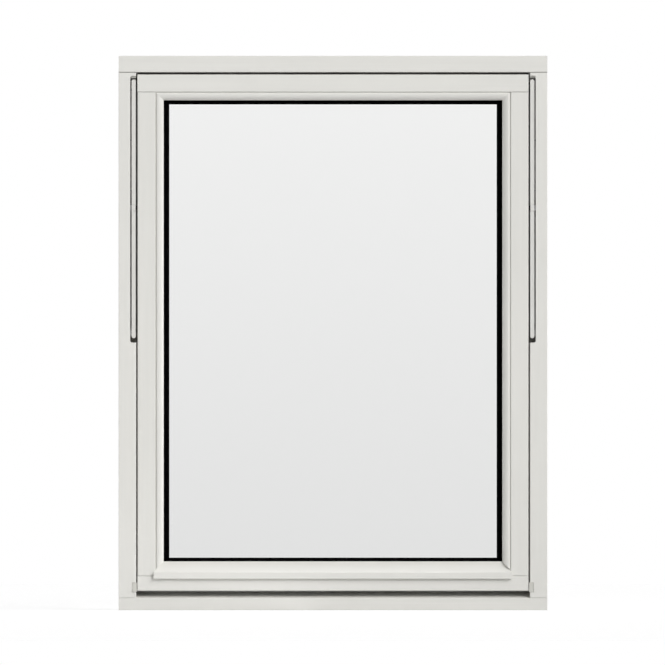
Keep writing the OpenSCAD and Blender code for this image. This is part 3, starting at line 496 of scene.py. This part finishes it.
def leverGrids():
    lo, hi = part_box("handle_lever")
    axisR = (hi.z - lo.z) / 2
    tipR = leverLook["tip"] * axisR
    tipX = lo.x + tipR
    centreY = hi.y - leverLook["thick"]
    centreZ = (lo.z + hi.z) / 2
    turn = np.linspace(0, 2 * math.pi, leverLook["around"], endpoint=False)[None, :]
    squared = 2 / leverLook["power"]
    acrossY = np.sign(np.cos(turn)) * np.abs(np.cos(turn)) ** squared
    acrossZ = np.sign(np.sin(turn)) * np.abs(np.sin(turn)) ** squared
    sweep = np.linspace(leverLook["endAngle"], math.pi - leverLook["endAngle"], leverLook["rows"])[:, None]
    x = (hi.x + lo.x) / 2 + (hi.x - lo.x) / 2 * np.cos(sweep)
    along = np.clip(x / tipX, 0, 1)
    ease = along * along * (3 - 2 * along)
    tall = axisR + (tipR - axisR) * ease
    thick = leverLook["thick"] + (leverLook["tipThick"] - leverLook["thick"]) * ease
    over = np.clip(np.maximum(x / axisR, (tipX - x) / tipR), 0, 1)
    cap = np.sqrt(1 - over * over)
    edge = np.sqrt(1 - (1 - cap) ** 2)
    bar = [x, centreY + thick * edge * acrossY, centreZ + tall * cap * acrossZ]
    out = lo.y + leverNeck[:, :1] * mm
    radius = leverNeck[:, 1:] * axisR
    neck = [radius * np.cos(turn), out, centreZ + radius * np.sin(turn)]
    return [np.stack(np.broadcast_arrays(*form), axis=-1) for form in (bar, neck)]


makePiece("lever", leverGrids(), "whiteLacquer", "handle_lever")
print("handle made again")

# Camera: square on to the outer face, from so far away that the sides stay parallel
shot = dict(pixels=665, scale=2.309 * mm, footPixel=610.2, middlePixel=332.98, distance=40.0, sensor=36.0,
            clip=(1.0, 200.0))


def placeCamera():
    lo, hi = cadBox
    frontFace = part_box("frame_head")[0].y
    width = shot["pixels"] * shot["scale"]
    data = bpy.data.cameras.new("camera")
    data.sensor_width = shot["sensor"]
    data.lens = shot["sensor"] * shot["distance"] / width
    data.clip_start, data.clip_end = shot["clip"]
    camera = bpy.data.objects.new("camera", data)
    centre = shot["pixels"] / 2
    x = (lo.x + hi.x) / 2 + (centre - shot["middlePixel"]) * shot["scale"]
    z = lo.z + (shot["footPixel"] - centre) * shot["scale"]
    camera.location = (x, frontFace - shot["distance"], z)
    camera.rotation_euler = (math.pi / 2, 0, 0)
    bpy.context.scene.collection.objects.link(camera)
    bpy.context.scene.camera = camera


placeCamera()
print("camera placed")

# Light: one soft sun high on the right, a weaker one on the room side, and a sky that dims towards the top
light = dict(horizon=0.545, zenith=0.06, sun=2.47, sunFrom=(0.58, -0.6, 0.55), sunAngle=42.0,
             back=1.75, backFrom=(-0.5, 1.0, 0.12), backAngle=30.0, away=3.0)


def addSun(name, strength, source, angle):
    data = bpy.data.lights.new(name, "SUN")
    data.energy = strength
    data.angle = math.radians(angle)
    lamp = bpy.data.objects.new(name, data)
    toSun = np.array(source) / np.linalg.norm(source)
    lamp.rotation_euler = (math.acos(toSun[2]), 0, math.atan2(toSun[0], -toSun[1]))
    lamp.location = toSun * light["away"]
    bpy.context.scene.collection.objects.link(lamp)


# The sky lights the window, and whatever looks straight at it or mirrors it sees plain white
def setWorld():
    world = bpy.data.worlds.new("studio")
    bpy.context.scene.world = world
    world.use_nodes = True
    tree = world.node_tree
    shade = tree.nodes["Background"]
    path = addNode(tree, "ShaderNodeLightPath")
    seen = mathNode(tree, "MAXIMUM", path.outputs["Is Camera Ray"], path.outputs["Is Glossy Ray"])
    seen = mathNode(tree, "MAXIMUM", seen, path.outputs["Is Transmission Ray"])
    place = addNode(tree, "ShaderNodeTexCoord")
    split = addNode(tree, "ShaderNodeSeparateXYZ")
    join(tree, place.outputs["Generated"], split.inputs[0])
    sky = spreadNode(tree, split.outputs["Z"], light["horizon"], light["zenith"])
    setSockets(shade, {"Color": (1, 1, 1, 1)})
    join(tree, spreadNode(tree, seen, sky, 1.0), shade.inputs["Strength"])


def addPlane(name, corners, faces, material):
    mesh = bpy.data.meshes.new(name)
    mesh.from_pydata(corners, [], faces)
    mesh.materials.append(material)
    plane = bpy.data.objects.new(name, mesh)
    bpy.context.scene.collection.objects.link(plane)
    return plane


# The floor is white to the eye and keeps a pale shadow, and throws little light back up
floor = dict(half=4.0, drop=0.2 * mm, seen=0.27, glow=0.8, dim=0.55)


def addFloor():
    material, tree = newMaterial("floorWhite")
    tree.nodes.remove(tree.nodes["Principled BSDF"])
    bounced = addNode(tree, "ShaderNodeLightPath").outputs["Is Diffuse Ray"]
    matt = addNode(tree, "ShaderNodeBsdfDiffuse")
    glow = addNode(tree, "ShaderNodeEmission")
    both = addNode(tree, "ShaderNodeAddShader")
    join(tree, spreadNode(tree, bounced, floor["seen"], floor["dim"]), matt.inputs["Color"])
    join(tree, spreadNode(tree, bounced, floor["glow"], 0.0), glow.inputs["Strength"])
    join(tree, matt.outputs[0], both.inputs[0])
    join(tree, glow.outputs[0], both.inputs[1])
    join(tree, both.outputs[0], tree.nodes["Material Output"].inputs["Surface"])
    half = floor["half"]
    z = cadBox[0].z - floor["drop"]
    corners = [(-half, -half, z), (half, -half, z), (half, half, z), (-half, half, z)]
    addPlane("floor", corners, [(0, 1, 2, 3)], material)


# The card behind the window, seen only through the panes, is a wall with a foot on the floor.
# Its grey grows darker downwards over the glass's height and fades to white at every edge
card = dict(half=3.0, top=3.2, depth=1.2, low=0.825, high=0.97, sideFade=(0.6, 2.6), topFade=(1.3, 3.0),
            floorFade=(1.15, 0.2))


def addCard():
    material, tree = newMaterial("cardGradient")
    tree.nodes.remove(tree.nodes["Principled BSDF"])
    glow = addNode(tree, "ShaderNodeEmission")
    place = addNode(tree, "ShaderNodeTexCoord")
    split = addNode(tree, "ShaderNodeSeparateXYZ")
    join(tree, place.outputs["Object"], split.inputs[0])
    side = spreadNode(tree, mathNode(tree, "ABSOLUTE", split.outputs["X"]), 0.0, 1.0, *card["sideFade"])
    top = spreadNode(tree, split.outputs["Z"], 0.0, 1.0, *card["topFade"])
    foot = spreadNode(tree, split.outputs["Y"], 0.0, 1.0, *card["floorFade"])
    fade = mathNode(tree, "MAXIMUM", mathNode(tree, "MAXIMUM", side, top), foot)
    lo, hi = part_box("outer_pane")
    grey = spreadNode(tree, split.outputs["Z"], card["low"], card["high"], lo.z, hi.z)
    join(tree, spreadNode(tree, fade, grey, 1.0), glow.inputs["Strength"])
    join(tree, glow.outputs[0], tree.nodes["Material Output"].inputs["Surface"])
    half = card["half"]
    near = card["floorFade"][1]
    far = card["depth"]
    corners = [(-half, near, 0), (half, near, 0), (half, far, 0), (-half, far, 0), (half, far, card["top"]),
               (-half, far, card["top"])]
    plane = addPlane("card", corners, [(0, 1, 2, 3), (3, 2, 4, 5)], material)
    plane.visible_camera = False
    plane.visible_diffuse = False
    plane.visible_glossy = False
    plane.visible_shadow = False


# A black flag in front of the window, seen only as a reflection, keeps the glass edge dark
flag = dict(half=1.5, depth=-6.0)


def addFlag():
    material, tree = newMaterial("flagBlack")
    setSockets(tree.nodes["Principled BSDF"], {"Base Color": (0, 0, 0, 1), "Specular IOR Level": 0.0})
    half = flag["half"]
    y = flag["depth"]
    corners = [(-half, y, 0), (half, y, 0), (half, y, 2 * half), (-half, y, 2 * half)]
    plane = addPlane("flag", corners, [(0, 1, 2, 3)], material)
    plane.visible_camera = False
    plane.visible_diffuse = False
    plane.visible_transmission = False
    plane.visible_shadow = False


setWorld()
addSun("sun", light["sun"], light["sunFrom"], light["sunAngle"])
addSun("roomLight", light["back"], light["backFrom"], light["backAngle"])
addFloor()
addCard()
addFlag()
bpy.context.scene.view_settings.view_transform = "Standard"
print("light and stage set")
